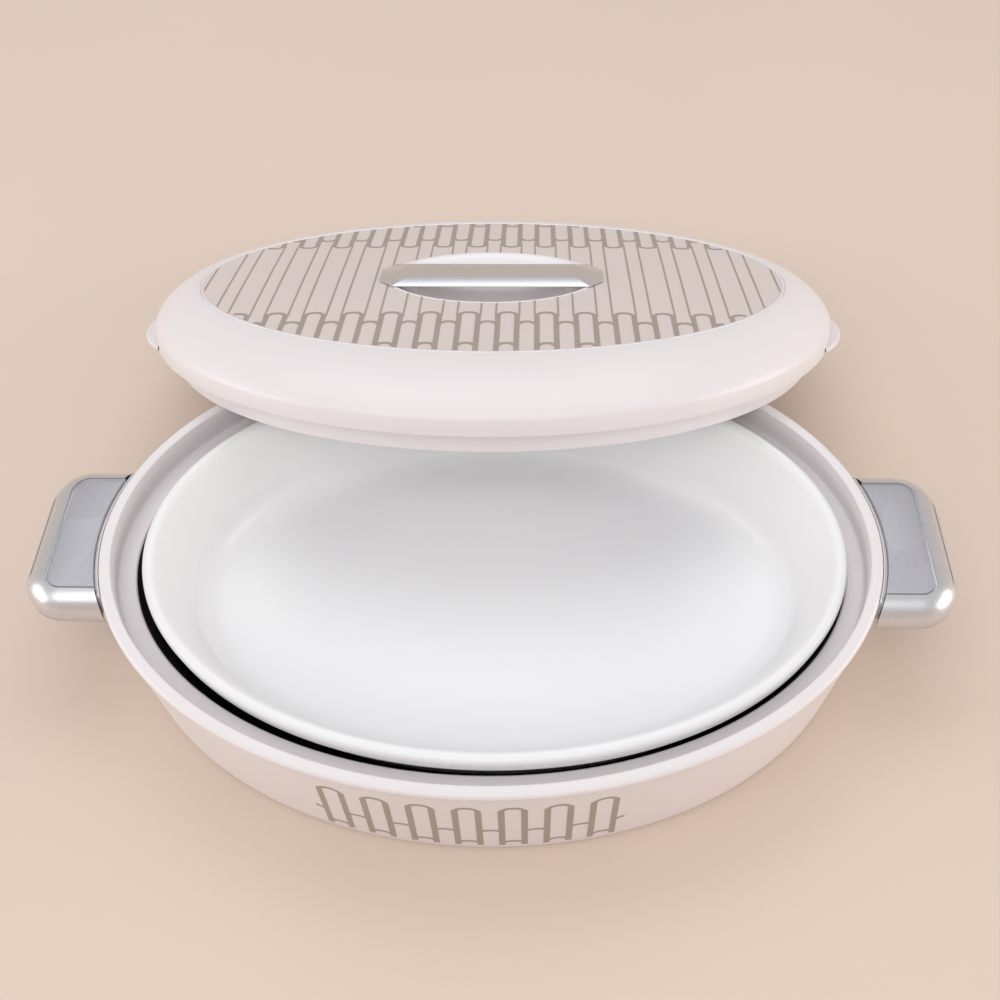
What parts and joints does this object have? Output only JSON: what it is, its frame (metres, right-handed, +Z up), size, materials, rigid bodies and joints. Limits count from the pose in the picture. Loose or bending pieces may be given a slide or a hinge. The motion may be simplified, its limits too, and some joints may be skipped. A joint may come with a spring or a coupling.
{
  "type": "insulated serving casserole",
  "caption": "Oval insulated serving casserole with side handles, a removable white porcelain dish and a lift-off domed lid that leans open behind the body.",
  "frame": {"origin": "on the table under the centre of the oval rim, on the underside of the middle foot", "axes": "+X through the right-hand side handle, +Y towards the back where the lid leans, +Z up"},
  "size_m": [0.448, 0.4425, 0.1186],
  "materials": {
    "body_plastic": "smooth semi-gloss off-white moulding",
    "pattern_panel": "satin warm off-white, printed with thin arches",
    "porcelain": "clear glaze over white porcelain",
    "silver_plate": "bright silver plating",
    "silver_paint": "satin silver",
    "grey_plastic": "fine matt",
    "foam": "expanded foam, cream",
    "seal_silicone": "soft satin",
    "foot_rubber": "matt",
    "screw_steel": "zinc plated"
  },
  "bodies": {
    "base": {"outer_shell": "body_plastic", "inner_liner": "body_plastic", "body_foam": "foam", "base_plate": "body_plastic", "base_screws": "screw_steel", "foot_pads": "foot_rubber", "right_handle_bracket": "body_plastic", "right_handle_cap": "silver_plate", "right_handle_panel": "silver_paint", "right_handle_core": "grey_plastic", "right_handle_screws": "screw_steel", "left_handle_bracket": "body_plastic", "left_handle_cap": "silver_plate", "left_handle_panel": "silver_paint", "left_handle_core": "grey_plastic", "left_handle_screws": "screw_steel"},
    "dish": {"porcelain_dish": "porcelain"},
    "lid": {"lid_outer_shell": "body_plastic", "lid_pattern_panel": "pattern_panel", "lid_finger_cup": "body_plastic", "lid_inner_liner": "body_plastic", "lid_seal_ring": "seal_silicone", "lid_foam": "foam", "lid_grip_bar": "silver_paint", "lid_bar_core": "body_plastic", "lid_bar_screws": "screw_steel"}
  },
  "joints": [
    {"name": "lid_lift", "type": "slide", "parent": "base", "child": "lid", "axis": [0, 0, 1], "range_m": [0, 0.16]},
    {"name": "dish_lift", "type": "slide", "parent": "base", "child": "dish", "axis": [0, 0, 1], "range_m": [0, 0.08]}
  ],
  "couplings": [
    {"joint": "dish_lift", "follows": "lid_lift", "ratio": 0.5}
  ]
}
